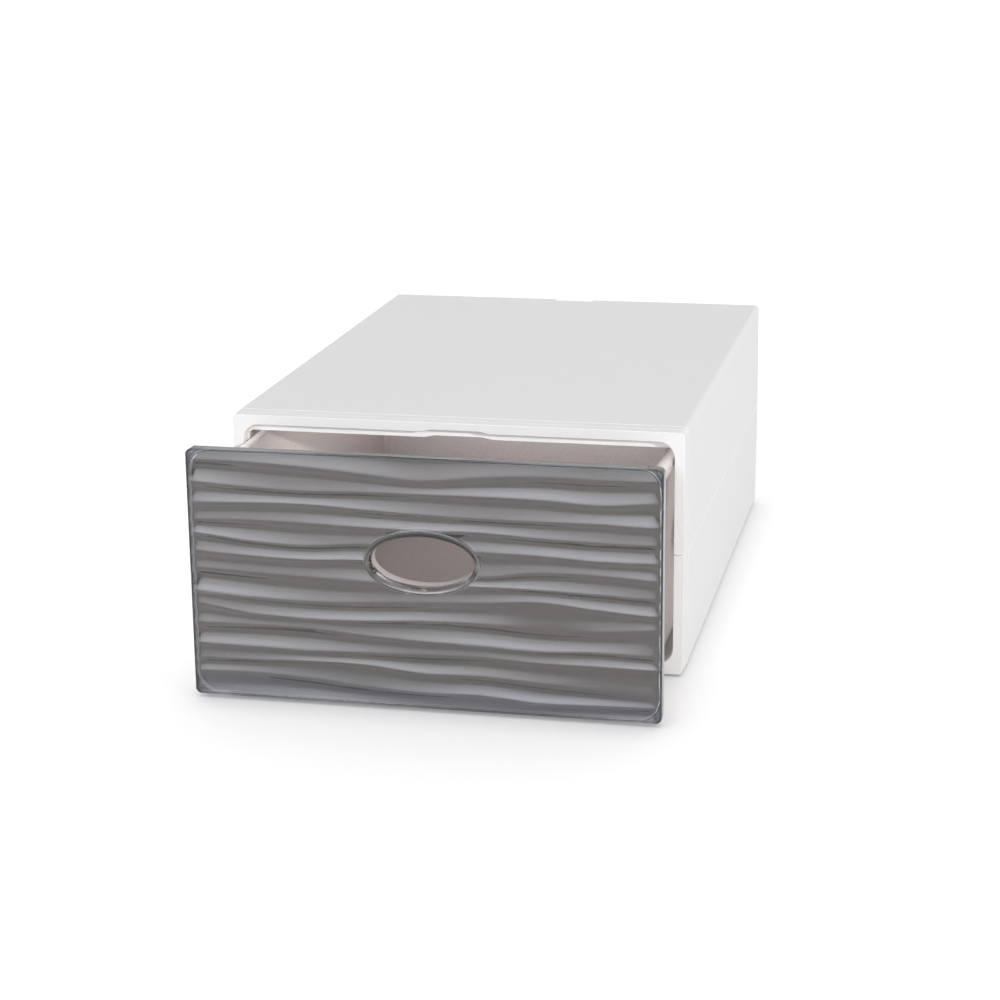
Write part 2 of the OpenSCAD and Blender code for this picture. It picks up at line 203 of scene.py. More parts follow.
def stroke(distance, at, width):
    return (1 - (distance - at).math("ABSOLUTE") * (1 / width)).clamped()


def greatest(first, *others):
    for other in others:
        first = first.math("MAXIMUM", other)
    return first


def tinted(mask, first, second):
    """One colour where the mask is 0, another where it is 1."""
    pair = [c if isinstance(c, Value) else (*c, 1) for c in (first, second)]
    return mask.node("ShaderNodeMix", 2, {"data_type": "RGBA"}, _0=mask, _6=pair[0], _7=pair[1])


def across_and_up(place):
    """Millimetres to the right of the middle, and above the ground."""
    x, _, z = place.split()
    return x * (1 / MM), z * (1 / MM)


# %% [markdown]
# What varies is linked into the shader, and what is the same all over is set on the shader's own socket.
# The bump is far finer than the pieces' edges: it only breaks up reflections, and makes no shape.


# %% Connect a finish
BUMP_DEPTH = 0.0001


def feed(value, shader, name):
    value.tree.links.new(value.socket, shader.inputs[name])


def constants(shader, **values):
    for name, value in values.items():
        shader.inputs[name.replace("_", " ")].default_value = value


def bumped(shader, height, strength):
    bump = height.node("ShaderNodeBump", 0, Strength=strength, Distance=BUMP_DEPTH, Height=height)
    feed(bump, shader, "Normal")


def report(material):
    print(material.name, "made with", len(material.node_tree.nodes), "nodes")
    return material


# %% [markdown]
# The cabinet is bright white moulded plastic with a soft sheen. Up close such a surface is never quite
# even: the tone and the gloss wander a little where the melt cooled, and a very fine skin breaks up
# reflections. Along the seam a thin pale line on the sides is a painted highlight, where the lower half's
# ledge catches the light. It is painted by its height, because it is too thin to come from the bevel's
# own highlight.

# %% White plastic
WHITE_A = (0.765, 0.757, 0.752)
WHITE_B = (0.785, 0.778, 0.773)
SEAM_HIGHLIGHT_WHITE = (0.93, 0.925, 0.92)
SEAM_HIGHLIGHT_BAND = (SEAM - 0.3, 0.5)
WHITE_CLOUD = 9.0
WHITE_GRAIN = 700.0
WHITE_GLOSS = 30.0
WHITE_SKIN = 900.0
PLASTIC_IOR = 1.49


def white_plastic():
    material, shader, place = new_finish("white_plastic")
    mottle = 0.4 * noise(place, WHITE_CLOUD, 3.0) + 0.6 * ramp(noise(place, WHITE_GRAIN), 0.3, 0.7)
    x, z = across_and_up(place)
    # Painted highlight: a thin pale band just below the seam, on the sides only.
    painted_seam_highlight = stroke(z, *SEAM_HIGHLIGHT_BAND) * ramp(x.math("ABSOLUTE"), CABINET_SIDE, CABINET_SIDE + 0.5)
    feed(tinted(painted_seam_highlight, tinted(mottle, WHITE_A, WHITE_B), SEAM_HIGHLIGHT_WHITE), shader, "Base Color")
    feed(0.52 + 0.10 * noise(place, WHITE_GLOSS), shader, "Roughness")
    bumped(shader, noise(place, WHITE_SKIN, 1.0), 0.08)
    constants(shader, IOR=PLASTIC_IOR, Specular_IOR_Level=0.2)
    return report(material)


white = white_plastic()

# %% [markdown]
# The drawer is opaque taupe plastic with a finer, duller skin, so that sheets slide on it. Its grain shows
# as fine specks of two close tones, which noise gives at the right size on any side of the drawer.

# %% Taupe plastic
TAUPE_A = (0.517, 0.464, 0.449)
TAUPE_B = (0.597, 0.541, 0.526)
TAUPE_GRAIN = 800.0
TAUPE_GLOSS = 40.0
TAUPE_SKIN = 1400.0


def taupe_plastic():
    material, shader, place = new_finish("taupe_plastic")
    feed(tinted(ramp(noise(place, TAUPE_GRAIN), 0.3, 0.7), TAUPE_A, TAUPE_B), shader, "Base Color")
    feed(0.42 + 0.12 * noise(place, TAUPE_GLOSS), shader, "Roughness")
    bumped(shader, noise(place, TAUPE_SKIN, 1.0), 0.15)
    constants(shader, IOR=PLASTIC_IOR)
    return report(material)


taupe = taupe_plastic()

# %% [markdown]
# The foot pads are soft dark grey elastomer with a coarse matt skin, and grip the shelf. They hardly show,
# so two tones and a strong fine bump are enough.

# %% Soft pad finish
PAD_A = (0.16, 0.16, 0.17)
PAD_B = (0.2, 0.2, 0.21)
PAD_GRAIN = 300.0
PAD_GLOSS = 200.0
PAD_SKIN = 2500.0


def pad_finish():
    material, shader, place = new_finish("soft_pad")
    feed(tinted(noise(place, PAD_GRAIN), PAD_A, PAD_B), shader, "Base Color")
    feed(0.6 + 0.2 * noise(place, PAD_GLOSS), shader, "Roughness")
    bumped(shader, noise(place, PAD_SKIN, 1.0), 0.3)
    return report(material)


soft = pad_finish()

# %% [markdown]
# The cover is polished clear plastic with a smoky tint. Along its rim and round its finger hole the thick
# plastic bends light into fine bright and dark lines. A path tracer would need very many samples to find
# them, so they are drawn by their distance from the outlines. The first helper gives that distance for a
# rectangle with round corners, and the second the share of the way across the bead round the hole.

# %% Distances from the cover's outlines
HOLE_HALVES = (-4.0, 6.0)


def box_distance(place, inset, radius):
    """Millimetres outside the cover's outline when that is drawn in by inset, and less than 0 inside it."""
    x, z = across_and_up(place)
    across = x.math("ABSOLUTE") - (COVER_X - inset - radius)
    upright = (z - COVER_MIDDLE).math("ABSOLUTE") - (COVER_Z1 - COVER_MIDDLE - inset - radius)
    a, b = across.math("MAXIMUM", 0.0), upright.math("MAXIMUM", 0.0)
    inside = across.math("MAXIMUM", upright).math("MINIMUM", 0.0)
    return (a * a + b * b).math("SQRT") + inside - radius


def bead_share(place):
    """0 at the finger hole's edge and 1 where the bead round it ends, then 0 below it and 1 above it."""
    x, z = across_and_up(place)
    z = z - HOLE_Z
    ovals = []
    for a, b in ((HOLE_A, HOLE_B), (HOLE_A + BEAD_W, HOLE_B + BEAD_H)):
        across, upright = x * (1 / a), z * (1 / b)
        ovals.append((across * across + upright * upright).math("SQRT"))
    return (ovals[0] - 1).math("DIVIDE", ovals[0] - ovals[1]), ramp(z, *HOLE_HALVES)


print("rim", round(RIM, 2), "mm wide, bead", BEAD_W, "by", BEAD_H)

# %% [markdown]
# The body is modelled as real clear plastic, so the waves, the rounded hole and the thick corners bend what
# lies behind them. The dark lines along the outlines and in the funnel are painted shade, the pale line
# inside the rim is a painted highlight, and the pale bead is painted light. Each line has a place and a
# half width in millimetres. Slow noise makes the lines wander, and quicker noise breaks them, as the small
# faults of a moulding do. The dark lines also lose the coat's gloss. Near its foot the cover is painted
# lilac, a painted reflection where it mirrors less of the room.

# %% Smoky clear plastic
SMOKE = (0.355, 0.325, 0.315)
FOOT_REFLECTION_TINT = (0.37, 0.38, 0.46)
RIM_SMOKE = (0.17, 0.18, 0.215)
RIM_HIGHLIGHT = (0.80, 0.83, 0.88)
BEAD_PAINTED_LIGHT = (0.86, 0.865, 0.88)
RIM_PAINTED_SHADE = (0.004, 0.006, 0.012)
FOOT_FADE = (26.0, 3.0)
OUTER_LINE = (-0.8, 0.8)
OUTER_SHADE = (-0.8, -0.3)
PLATE_LINE = (1.0, 0.7)
CORNER_LINE = (2.5, 0.8)
RIM_HIGHLIGHT_LINE = (0.3, 0.35)
FUNNEL_SHADE = (0.5, 0.5)
FUNNEL_LINE = (0.78, 0.16)
COVER_IOR = 1.59


# Painted shade: dark lines along the cover's outlines and round the funnel.
def painted_shade_lines(place, from_edge, from_plate, share, upper):
    wander = 0.9 * (noise(place, 55.0, 3.0) - 0.5)
    breaks = ramp(noise(place, 160.0), 0.31, 0.45)
    return greatest(
        stroke(from_edge + wander, *OUTER_LINE),
        0.7 * ramp(from_edge, *OUTER_SHADE),
        stroke(from_plate + wander, *PLATE_LINE) * breaks,
        stroke(from_plate - wander, *CORNER_LINE) * breaks,
        stroke(share + 0.1 * wander, *FUNNEL_SHADE) * upper,
        stroke(share + 0.15 * wander, *FUNNEL_LINE) * breaks * (1 - upper),
    )


def smoky_clear():
    material, shader, place = new_finish("smoky_clear")
    from_edge = box_distance(place, 0.0, COVER_R)
    from_plate = box_distance(place, PLATE_IN - PLATE_GROW, PLATE_R + PLATE_GROW)
    share, upper = bead_share(place)
    painted_shade = painted_shade_lines(place, from_edge, from_plate, share, upper)
    height = place.split()[2] * (1 / MM)
    # Painted reflection: the colour turns lilac near the foot, where less of the room is mirrored.
    colour = tinted(ramp(height, *FOOT_FADE), SMOKE, FOOT_REFLECTION_TINT)
    colour = tinted(ramp(from_plate, -0.1, 0.1), colour, RIM_SMOKE)
    # Painted highlight: a thin pale line just inside the plate's outline.
    colour = tinted(stroke(from_plate, *RIM_HIGHLIGHT_LINE), colour, RIM_HIGHLIGHT)
    # Painted light: the bead round the finger hole is painted far paler than the smoke.
    colour = tinted(1 - ramp(share, 0.93, 1.03), colour, BEAD_PAINTED_LIGHT)
    feed(tinted(painted_shade, colour, RIM_PAINTED_SHADE), shader, "Base Color")
    feed(1 - painted_shade, shader, "Coat Weight")
    feed(0.03 * noise(place, 60.0), shader, "Roughness")
    constants(shader, Transmission_Weight=1.0, IOR=COVER_IOR, Coat_Roughness=0.02)
    return report(material)


smoky = smoky_clear()

# %% [markdown]
# Moulded edges are never knife sharp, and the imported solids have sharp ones. So each is copied, its loose
# triangles are merged into whole faces, and the edges that catch the light get a small round bevel. A Bevel
# modifier would be quicker, but it can't choose edges by where they lie.


# %% Copy a solid with whole faces
SAME_POINT = 0.00001
SAME_FACE = math.radians(0.4)
SHARP_EDGE = math.radians(35)


def at_y(edge, y, room=0.02):
    return all(abs(v.co.y / MM - y) < room for v in edge.verts)


def merged_copy(node, thin_at=()):
    """Faces that lie at one of the depths in thin_at are too slim to be joined, and stay triangles."""
    bm = bmesh.new()
    bm.from_mesh(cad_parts[node].data)
    bmesh.ops.remove_doubles(bm, verts=bm.verts, dist=SAME_POINT)
    joined = [e for e in bm.edges if not any(at_y(e, y) for y in thin_at)]
    bmesh.ops.dissolve_limit(bm, angle_limit=SAME_FACE, verts=[], edges=joined)
    return bm


def soften(bm, chosen, width, segments=3):
    edges = [e for e in bm.edges if e.is_convex and e.calc_face_angle() > SHARP_EDGE and chosen(e)]
    bmesh.ops.bevel(
        bm, geom=edges, offset=width * MM, offset_type="OFFSET", segments=segments, profile=0.5,
        affect="EDGES", clamp_overlap=False, material=-1,
    )
    return len(edges)


# %% [markdown]
# A finished piece rides on its body, stands for its imported solid, and takes its finish from the material
# it is given. Smooth shading alone would tilt the light on a large face next to a bevel, so a Weighted
# Normal modifier lets the large faces keep their own direction.


# %% Finish a piece
def finish_piece(bm, name, body, node, material, angle=30):
    mesh = bpy.data.meshes.new(name)
    bm.to_mesh(mesh)
    bm.free()
    piece = bpy.data.objects.new(name, mesh)
    scene.collection.objects.link(piece)
    mesh.materials.append(material)
    mesh.shade_smooth()
    mesh.set_sharp_from_angle(angle=math.radians(angle))
    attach(piece, body)
    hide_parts(node)
    print(name, "finished with", len(mesh.polygons), "faces")
    return piece


def even_shading(piece):
    weighted = piece.modifiers.new("weighted", "WEIGHTED_NORMAL")
    weighted.keep_sharp = True


# %% [markdown]
# On the cabinet the edges that show are those of the front face, the two fine steps behind it and the
# lower half's ledge at the seam. Each set gets the radius that fits it, and the rest stays as packed.

# %% Cabinet shells
STEP = 6.6
FACE_EDGE = 0.5
STEP_EDGE = 0.12
LEDGE_EDGE = 0.35


def at_seam(edge):
    return all(abs(v.co.z / MM - SEAM) < 0.02 and abs(v.co.x / MM) > CABINET_SIDE for v in edge.verts)


def shell(node, name):
    steps = (FRAME_FRONT + STEP, FRAME_FRONT + 2 * STEP)
    bm = merged_copy(node, steps)
    count = soften(bm, lambda e: at_y(e, FRAME_FRONT), FACE_EDGE)
    count += soften(bm, lambda e: at_y(e, steps[0]) or at_y(e, steps[1]), STEP_EDGE, 1)
    if node == "lower_shell":
        count += soften(bm, at_seam, LEDGE_EDGE, 2)
    print(name, "edges softened:", count)
    even_shading(finish_piece(bm, name, "cabinet", node, white))


shell("upper_shell", "upper_shell_soft")
shell("lower_shell", "lower_shell_soft")

# %% [markdown]
# The finger hole goes through the drawer's plate and the cover. Both have a closed cross-section swept
# round an ellipse there: a low collar behind the plate, and the cover's rounded bead. A spin makes circles
# only. So such a ring starts as a flat circle of edges, each extrusion makes the next ring, and that is
# stretched and moved to its place in the section. A place is how much wider and higher than the hole it
# is, and its depth.

# %% Rings swept round the finger hole
OVAL_STEPS = 96
SAME_RING = 0.000001


def place_ring(verts, old, new):
    wide = (HOLE_A + new[0]) / (HOLE_A + old[0])
    high = (HOLE_B + new[1]) / (HOLE_B + old[1])
    middle = Matrix.Translation(Vector((0, old[2], HOLE_Z)) * MM)
    shift = Matrix.Translation(Vector((0, new[2] - old[2], 0)) * MM)
    moved = shift @ middle @ Matrix.Diagonal((wide, 1, high, 1)) @ middle.inverted()
    for v in verts:
        v.co = moved @ v.co


def swept_oval(bm, places):
    wider, higher, depth = places[0]
    standing = Matrix.Rotation(math.radians(90), 4, "X")
    size = Matrix.Diagonal(((HOLE_A + wider) * MM, 1, (HOLE_B + higher) * MM, 1))
    middle = Matrix.Translation(Vector((0, depth, HOLE_Z)) * MM)
    made = bmesh.ops.create_circle(bm, segments=OVAL_STEPS, radius=1, matrix=middle @ size @ standing)
    all_verts = list(made["verts"])
    ring = list({e for v in all_verts for e in v.link_edges})
    for old, new in zip(places, places[1:] + places[:1]):
        made = bmesh.ops.extrude_edge_only(bm, edges=ring)["geom"]
        ring = [g for g in made if isinstance(g, bmesh.types.BMEdge)]
        verts = [g for g in made if isinstance(g, bmesh.types.BMVert)]
        place_ring(verts, old, new)
        all_verts += verts
    bmesh.ops.remove_doubles(bm, verts=all_verts, dist=SAME_RING)
    faces = list({f for v in all_verts if v.is_valid for f in v.link_faces})
    bmesh.ops.recalc_face_normals(bm, faces=faces)
    print("swept", len(places), "rings of", OVAL_STEPS)


# %% [markdown]
# The drawer's front plate fills the cover's skirt more fully than the solid's does, so its outline is
# moved outwards first. Only the points of its round corners have to move, because they end its straight
# edges too. Then its edges are softened, the finger hole's more than the others.

# %% Drawer
COLLAR = 1.5
COLLAR_DEEP = 5.0
COLLAR_SUNK = 0.5
HOLE_EDGE = 1.0
PLATE_EDGE = 0.3


def collar_section():
    back = PLATE_BACK + COLLAR_DEEP
    front = PLATE_BACK - COLLAR_SUNK
    places = [(COLLAR, front), (COLLAR, back - 0.6), (0.9, back), (0.5, back), (0, back - 0.4), (0, front)]
    return [(w, w, y) for w, y in places]


def from_corner(place):
    """How far a point lies outside the middles of the plate's round corners."""
    side = COVER_X - PLATE_IN - PLATE_R
    rise = COVER_Z1 - COVER_MIDDLE - PLATE_IN - PLATE_R
    x, z = place.x / MM, place.z / MM - COVER_MIDDLE
    return Vector((math.copysign(max(abs(x) - side, 0), x), 0, math.copysign(max(abs(z) - rise, 0), z)))


def grow_plate(bm):
    moved = 0
    for v in bm.verts:
        out = from_corner(v.co)
        if v.co.y / MM < PLATE_BACK + 0.1 and abs(out.length - PLATE_R) < 0.1:
            v.co += out.normalized() * PLATE_GROW * MM
            moved += 1
    print("plate points moved:", moved)


def round_hole(place):
    return (place.x / MM / HOLE_A) ** 2 + ((place.z / MM - HOLE_Z) / HOLE_B) ** 2 < 1.3


def hole_rim(edge):
    return at_y(edge, PLATE_FRONT) and all(round_hole(v.co) for v in edge.verts)


def plate_rim(edge):
    return at_y(edge, PLATE_BACK) or at_y(edge, PLATE_FRONT) and not round_hole(edge.verts[0].co)


def drawer():
    bm = merged_copy("drawer_tray")
    grow_plate(bm)
    count = soften(bm, hole_rim, HOLE_EDGE)
    count += soften(bm, plate_rim, PLATE_EDGE, 2)
    swept_oval(bm, collar_section())
    print("drawer edges softened:", count)
    even_shading(finish_piece(bm, "drawer_tray_soft", "drawer", "drawer_tray", taupe))


drawer()

# %% [markdown]
# Four thin round pads lie in recesses under the floor. They are short cylinders in the model already, so
# all that they need is a soft rim.

# %% Foot pads
PAD_EDGE = 0.3

for pad in [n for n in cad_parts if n.startswith("foot_pad")]:
    bm = merged_copy(pad)
    soften(bm, lambda e: True, PAD_EDGE)
    finish_piece(bm, pad + "_soft", "cabinet", pad, soft, 40)

# %% [markdown]
# The cover's waves are long round flutes that meet in crests. The crests wander up and down and come close
# to each other in places. Each line below gives one crest's height above the cabinet's floor at nine places
# from the left to the right, and a smooth curve joins them. Between two crests the face is hollow, and the
# further apart they are the deeper it is.

# %% Heights of the crests
CREST_STEP = 35.0
FLOOR_RISE = 0.8
CRESTS = [
    (0.0,) * 9,
    (15.7, 16.4, 14.7, 11.7, 10.6, 11.4, 9.0, 9.7, 10.2),
    (24.1, 25.1, 26.4, 26.1, 22.6, 22.6, 20.2, 18.5, 17.4),
    (33.6, 33.1, 32.4, 33.1, 33.9, 34.8, 33.7, 34.0, 34.0),
    (45.5, 46.5, 46.4, 44.0, 42.7, 42.6, 41.4, 42.3, 41.1),
    (58.4, 54.0, 53.2, 53.7, 55.3, 55.1, 53.2, 53.9, 57.5),
    (66.7, 64.2, 62.8, 63.6, 65.7, 67.8, 70.8, 68.1, 66.3),
    (80.1, 78.5, 77.6, 77.0, 77.9, 78.9, 78.7, 77.5, 76.2),
    (90.6, 89.7, 89.4, 90.6, 87.5, 84.3, 88.4, 88.9, 87.2),
    (102.8, 99.1, 97.6, 100.2, 99.6, 98.8, 98.9, 97.4, 97.6),
    (110.3, 111.0, 110.8, 110.6, 110.5, 111.1, 109.4, 108.4, 108.5),
    (120.7, 122.2, 123.0, 121.3, 119.8, 119.2, 119.3, 119.8, 118.8),
    (133.3, 131.4, 130.6, 132.0, 132.6, 132.6, 132.1, 130.4, 132.5),
    (146.8, 146.5, 145.0, 142.3, 139.5, 142.8, 144.8, 144.6, 145.5),
    (160.0,) * 9,
]


def crest_height(k, x):
    """Height of crest k at x, on a smooth curve through its nine places."""
    heights = CRESTS[k]
    last = len(heights) - 1
    t = min(max(x / CREST_STEP + last / 2, 0), last - 0.0001)
    i = int(t)
    t -= i
    p = [heights[min(max(j, 0), last)] for j in (i - 1, i, i + 1, i + 2)]
    rise = p[2] - p[0]
    curve = 2 * p[0] - 5 * p[1] + 4 * p[2] - p[3]
    twist = 3 * p[1] - 3 * p[2] + p[3] - p[0]
    return FLOOR_RISE + p[1] + 0.5 * t * (rise + t * (curve + t * twist))


print("flutes:", len(CRESTS) - 1, "the middle one's crest at", round(crest_height(len(CRESTS) // 2, 0), 1))

# %% [markdown]
# A flute's section decides where it mirrors the bright part of the room. Just above a crest the face leans
# back the most and is brightest. It leans less and less up to the flute's deepest line, and comes out again
# quickly to the next crest. The waves calm down near the cover's two sides, so that its outline is straight.

# %% Section of a flute
DEEPEST = 0.77
CREST_TILT = 0.37
DEEP_TILT = 0.165
WIDEST_FULL = 14.0
TILT_SWING = 0.28
SWING_TURNS = 2.3
CALM_REACH = 6.0
CALM_LEAST = 0.25
FACE_INSET = 0.1


def flute_depth(k, s, u):
    """Depth for each millimetre of the flute's height, s of the way up flute k and u of the way across."""
    upper = min(s, DEEPEST)
    tilt = CREST_TILT * (1 + TILT_SWING * math.sin(SWING_TURNS * (math.pi * u + k)))
    depth = upper * (tilt + (DEEP_TILT - tilt) * upper / (2 * DEEPEST))
    if s > DEEPEST:
        left = (1 - s) / (1 - DEEPEST)
        depth *= left * (1 + left - left * left)
    return depth


def calmed(x):
    calm = min(max((COVER_X - abs(x)) / CALM_REACH, 0), 1)
    return CALM_LEAST + (1 - CALM_LEAST) * calm * calm * (3 - 2 * calm)


def face_point(u, v):
    """The point of the wavy face for u across and v up, both from 0 to 1."""
    x = (2 * u - 1) * (COVER_X + 1)
    s = v * (len(CRESTS) - 1)
    k = min(int(s), len(CRESTS) - 2)
    s -= k
    low, high = crest_height(k, x), crest_height(k + 1, x)
    depth = flute_depth(k, s, u) * min(high - low, WIDEST_FULL) * calmed(x)
    return Vector((x, COVER_FACE + FACE_INSET + depth, low + s * (high - low))) * MM


print("deepest under a 14 mm flute:", round(flute_depth(0, DEEPEST, 0.5) * WIDEST_FULL, 2), "mm")

# %% [markdown]
# The face starts as a flat grid, whose points move to their places in the waves. Then the crests are rounded
# by smoothing in depth alone. Some stretches get more rounds of it than others, because on a polished
# moulding a crest is crisp in one place and melts away in the next. Pulled back, the grid becomes a slab.

# %% Wavy slab
COLUMNS = 230
ROWS = 14 * (len(CRESTS) - 1)
ROUND_PASSES = 8
ROUND_TURNS = 1.7
SLAB_BACK = PLATE_BACK + 2


def crest_roundness(u, v):
    return 0.65 + 0.35 * math.sin(ROUND_TURNS * (math.pi * u + v * len(CRESTS)))


def wavy_slab():
    bm = bmesh.new()
    bmesh.ops.create_grid(bm, x_segments=COLUMNS, y_segments=ROWS, size=1)
    roundness = {}
    for vert in bm.verts:
        u, v = (vert.co.x + 1) / 2, (vert.co.y + 1) / 2
        roundness[vert] = crest_roundness(u, v)
        vert.co = face_point(u, v)
    for i in range(ROUND_PASSES):
        chosen = [vert for vert in bm.verts if roundness[vert] > i / ROUND_PASSES]
        bmesh.ops.smooth_vert(bm, verts=chosen, factor=0.5, use_axis_y=True)
    edge = [e for e in bm.edges if e.is_boundary]
    walls = bmesh.ops.extrude_edge_only(bm, edges=edge)["geom"]
    for vert in (g for g in walls if isinstance(g, bmesh.types.BMVert)):
        vert.co.y = SLAB_BACK * MM
    bmesh.ops.contextual_create(bm, geom=[e for e in bm.edges if e.is_boundary])
    bmesh.ops.recalc_face_normals(bm, faces=bm.faces)
    print("slab:", COLUMNS, "by", ROWS)
    return bm


# %% [markdown]
# The rest of the cover is built from rings: outlines that are joined one behind the other, the way a loft is
# drawn. An outline is a rectangle with round corners, or an oval. A block with bevelled edges would be
# shorter, but rings keep the radius of the corners right at every depth, and a bevel does so only nearly.

# %% Outlines and rings
CORNER_STEPS = 10


def round_outline(inset, radius):
    """The cover's outline, drawn in by inset and with corners of that radius."""
    side = COVER_X - inset - radius
    low, high = COVER_Z0 + inset + radius, COVER_Z1 - inset - radius
    points = []
    for x, z, start in ((side, low, -90), (side, high, 0), (-side, high, 90), (-side, low, 180)):
        for i in range(CORNER_STEPS + 1):
            a = math.radians(start + 90 * i / CORNER_STEPS)
            points.append((x + radius * math.cos(a), z + radius * math.sin(a)))
    return points


def oval_outline(wider, higher):
    turns = [2 * math.pi * i / OVAL_STEPS for i in range(OVAL_STEPS)]
    return [((HOLE_A + wider) * math.cos(a), HOLE_Z + (HOLE_B + higher) * math.sin(a)) for a in turns]


def add_ring(bm, outline, y):
    verts = [bm.verts.new(Vector((x, y, z)) * MM) for x, z in outline]
    return [bm.edges.new((a, b)) for a, b in zip(verts, verts[1:] + verts[:1])]


def joined_rings(rings):
    bm = bmesh.new()
    loops = [add_ring(bm, outline, y) for outline, y in rings]
    for first, second in zip(loops, loops[1:]):
        bmesh.ops.bridge_loops(bm, edges=first + second)
    for end in (loops[0], loops[-1]):
        bmesh.ops.contextual_create(bm, geom=end)
    bmesh.ops.recalc_face_normals(bm, faces=bm.faces)
    print("joined", len(rings), "rings of", len(rings[0][0]))
    return bm


# %% [markdown]
# The blank gives the cover its outline with a rounded front edge, and the pocket at its back that takes the
# drawer's plate. The hole's tool clears the place for the bead, and so it ends half way across the bead.

# %% Cover blank and hole
EDGE_ROUND = 1.0
EDGE_STEPS = 5
PAST_FACE = 2


def cover_blank():
    rings = []
    for i in range(EDGE_STEPS + 1):
        a = math.radians(90 * i / EDGE_STEPS)
        inset = EDGE_ROUND * (1 - math.sin(a))
        rings.append((round_outline(inset, COVER_R - inset), COVER_FACE + EDGE_ROUND * (1 - math.cos(a))))
    pocket = round_outline(RIM, PLATE_R + PLATE_GROW + PLATE_CLEAR)
    rings += [(round_outline(0, COVER_R), PLATE_BACK), (pocket, PLATE_BACK), (pocket, COVER_BACK)]
    return joined_rings(rings)


def hole_tool():
    oval = oval_outline(BEAD_W / 2, BEAD_H / 2)
    return joined_rings([(oval, COVER_FACE - PAST_FACE), (oval, PLATE_BACK)])


# %% [markdown]
# The bead round the finger hole is a low rounded lip, from which a funnel curves in to the hole. Its section
# starts at the back, goes round the lip's outside in a quarter circle, and comes back down the funnel in a
# quarter of an ellipse. It is swept as the collar was.

# %% Bead round the finger hole
LIP_AT = 0.8
LIP_STEPS = 5
FUNNEL_DEPTH = 4.0
FUNNEL_STEPS = 12


def bead_section():
    """Places round the section: share of the bead's width and height, and depth."""
    places = [(1.0, COVER_BACK - 1.0), (1.0, COVER_FACE + 1.2)]
    for i in range(LIP_STEPS):
        a = math.radians(90 * i / LIP_STEPS)
        places.append((1 - (1 - LIP_AT) * (1 - math.cos(a)), COVER_FACE + 1 - math.sin(a)))
    for i in range(FUNNEL_STEPS + 1):
        a = math.radians(90 * i / FUNNEL_STEPS)
        places.append((LIP_AT * (1 - math.sin(a)), COVER_FACE + FUNNEL_DEPTH * (1 - math.cos(a))))
    places += [(0, COVER_BACK), (0.45, COVER_BACK)]
    return [(BEAD_W * share, BEAD_H * share, y) for share, y in places]


def bead():
    bm = bmesh.new()
    swept_oval(bm, bead_section())
    return bm


# %% [markdown]
# Boolean modifiers put the cover together: the slab is cut to the blank, the hole is taken out of it, and
# the bead is added. The result is read back as one mesh, and the parts that it came from are removed.


# %% Put the cover together
def temporary(bm, name):
    mesh = bpy.data.meshes.new(name)
    bm.to_mesh(mesh)
    bm.free()
    made = bpy.data.objects.new(name, mesh)
    scene.collection.objects.link(made)
    return made


def cut(target, tool, operation):
    made = target.modifiers.new(operation, "BOOLEAN")
    made.operation = operation
    made.object = tool
    made.solver = "MANIFOLD"


def front_cover():
    slab = temporary(wavy_slab(), "slab")
    tools = [
        (temporary(cover_blank(), "blank"), "INTERSECT"),
        (temporary(hole_tool(), "hole"), "DIFFERENCE"),
        (temporary(bead(), "bead"), "UNION"),
    ]
    for tool, operation in tools:
        cut(slab, tool, operation)
    whole = bpy.data.meshes.new_from_object(slab.evaluated_get(bpy.context.evaluated_depsgraph_get()))
    bm = bmesh.new()
    bm.from_mesh(whole)
    bmesh.ops.remove_doubles(bm, verts=bm.verts, dist=SAME_RING)
    for made in [slab] + [tool for tool, _ in tools]:
        bpy.data.objects.remove(made)
    print("cover's open edges:", sum(not e.is_manifold for e in bm.edges))
    finish_piece(bm, "front_cover_clear", "drawer", "front_cover", smoky)


front_cover()

# %% [markdown]
# The light is that of a white photo studio. The room itself is the lamp: a bright even sky, and in front of
# the box, a little to the left, one large soft light that grows brighter with height. It is what the waves
# mirror, so each of them shows a band that brightens down to its crest. An area lamp would give hard edges
# to those bands, so the soft light is painted on the world by its direction.

# %% Room light
ROOM = 0.775
FRONT_LIGHT = 3.6
FRONT_TOWARDS = (-0.24, -0.97)
FRONT_SIDES = (0.91, 0.98)
FRONT_HEIGHTS = (-0.08, 0.42)
FRONT_LID = (0.45, 0.62)
FRONT_TINT = (0.93, 0.97, 1.08)
FRONT_DIM = 0.27
SIDE_DIM = 0.19
DIM_AHEAD = (0.0, 0.8)
DIM_SIDE = (0.1, 0.9)
DIM_UP_TO = (0.5, 0.9)


def room_strength(direction):
    """How bright the room is in a direction, and how much of that is the light in front."""
    x, y, z = direction.split()
    flat = (x * x + y * y + 0.0001).math("SQRT")
    ahead = (x * FRONT_TOWARDS[0] + y * FRONT_TOWARDS[1]).math("DIVIDE", flat)
    front = ramp(ahead, *FRONT_SIDES) * ramp(z, *FRONT_HEIGHTS, "LINEAR") * (1 - ramp(z, *FRONT_LID))
    dim = FRONT_DIM * ramp(ahead, *DIM_AHEAD) + SIDE_DIM * ramp(x, *DIM_SIDE)
    return ROOM * (1 - dim * (1 - ramp(z, *DIM_UP_TO))) + FRONT_LIGHT * front, front


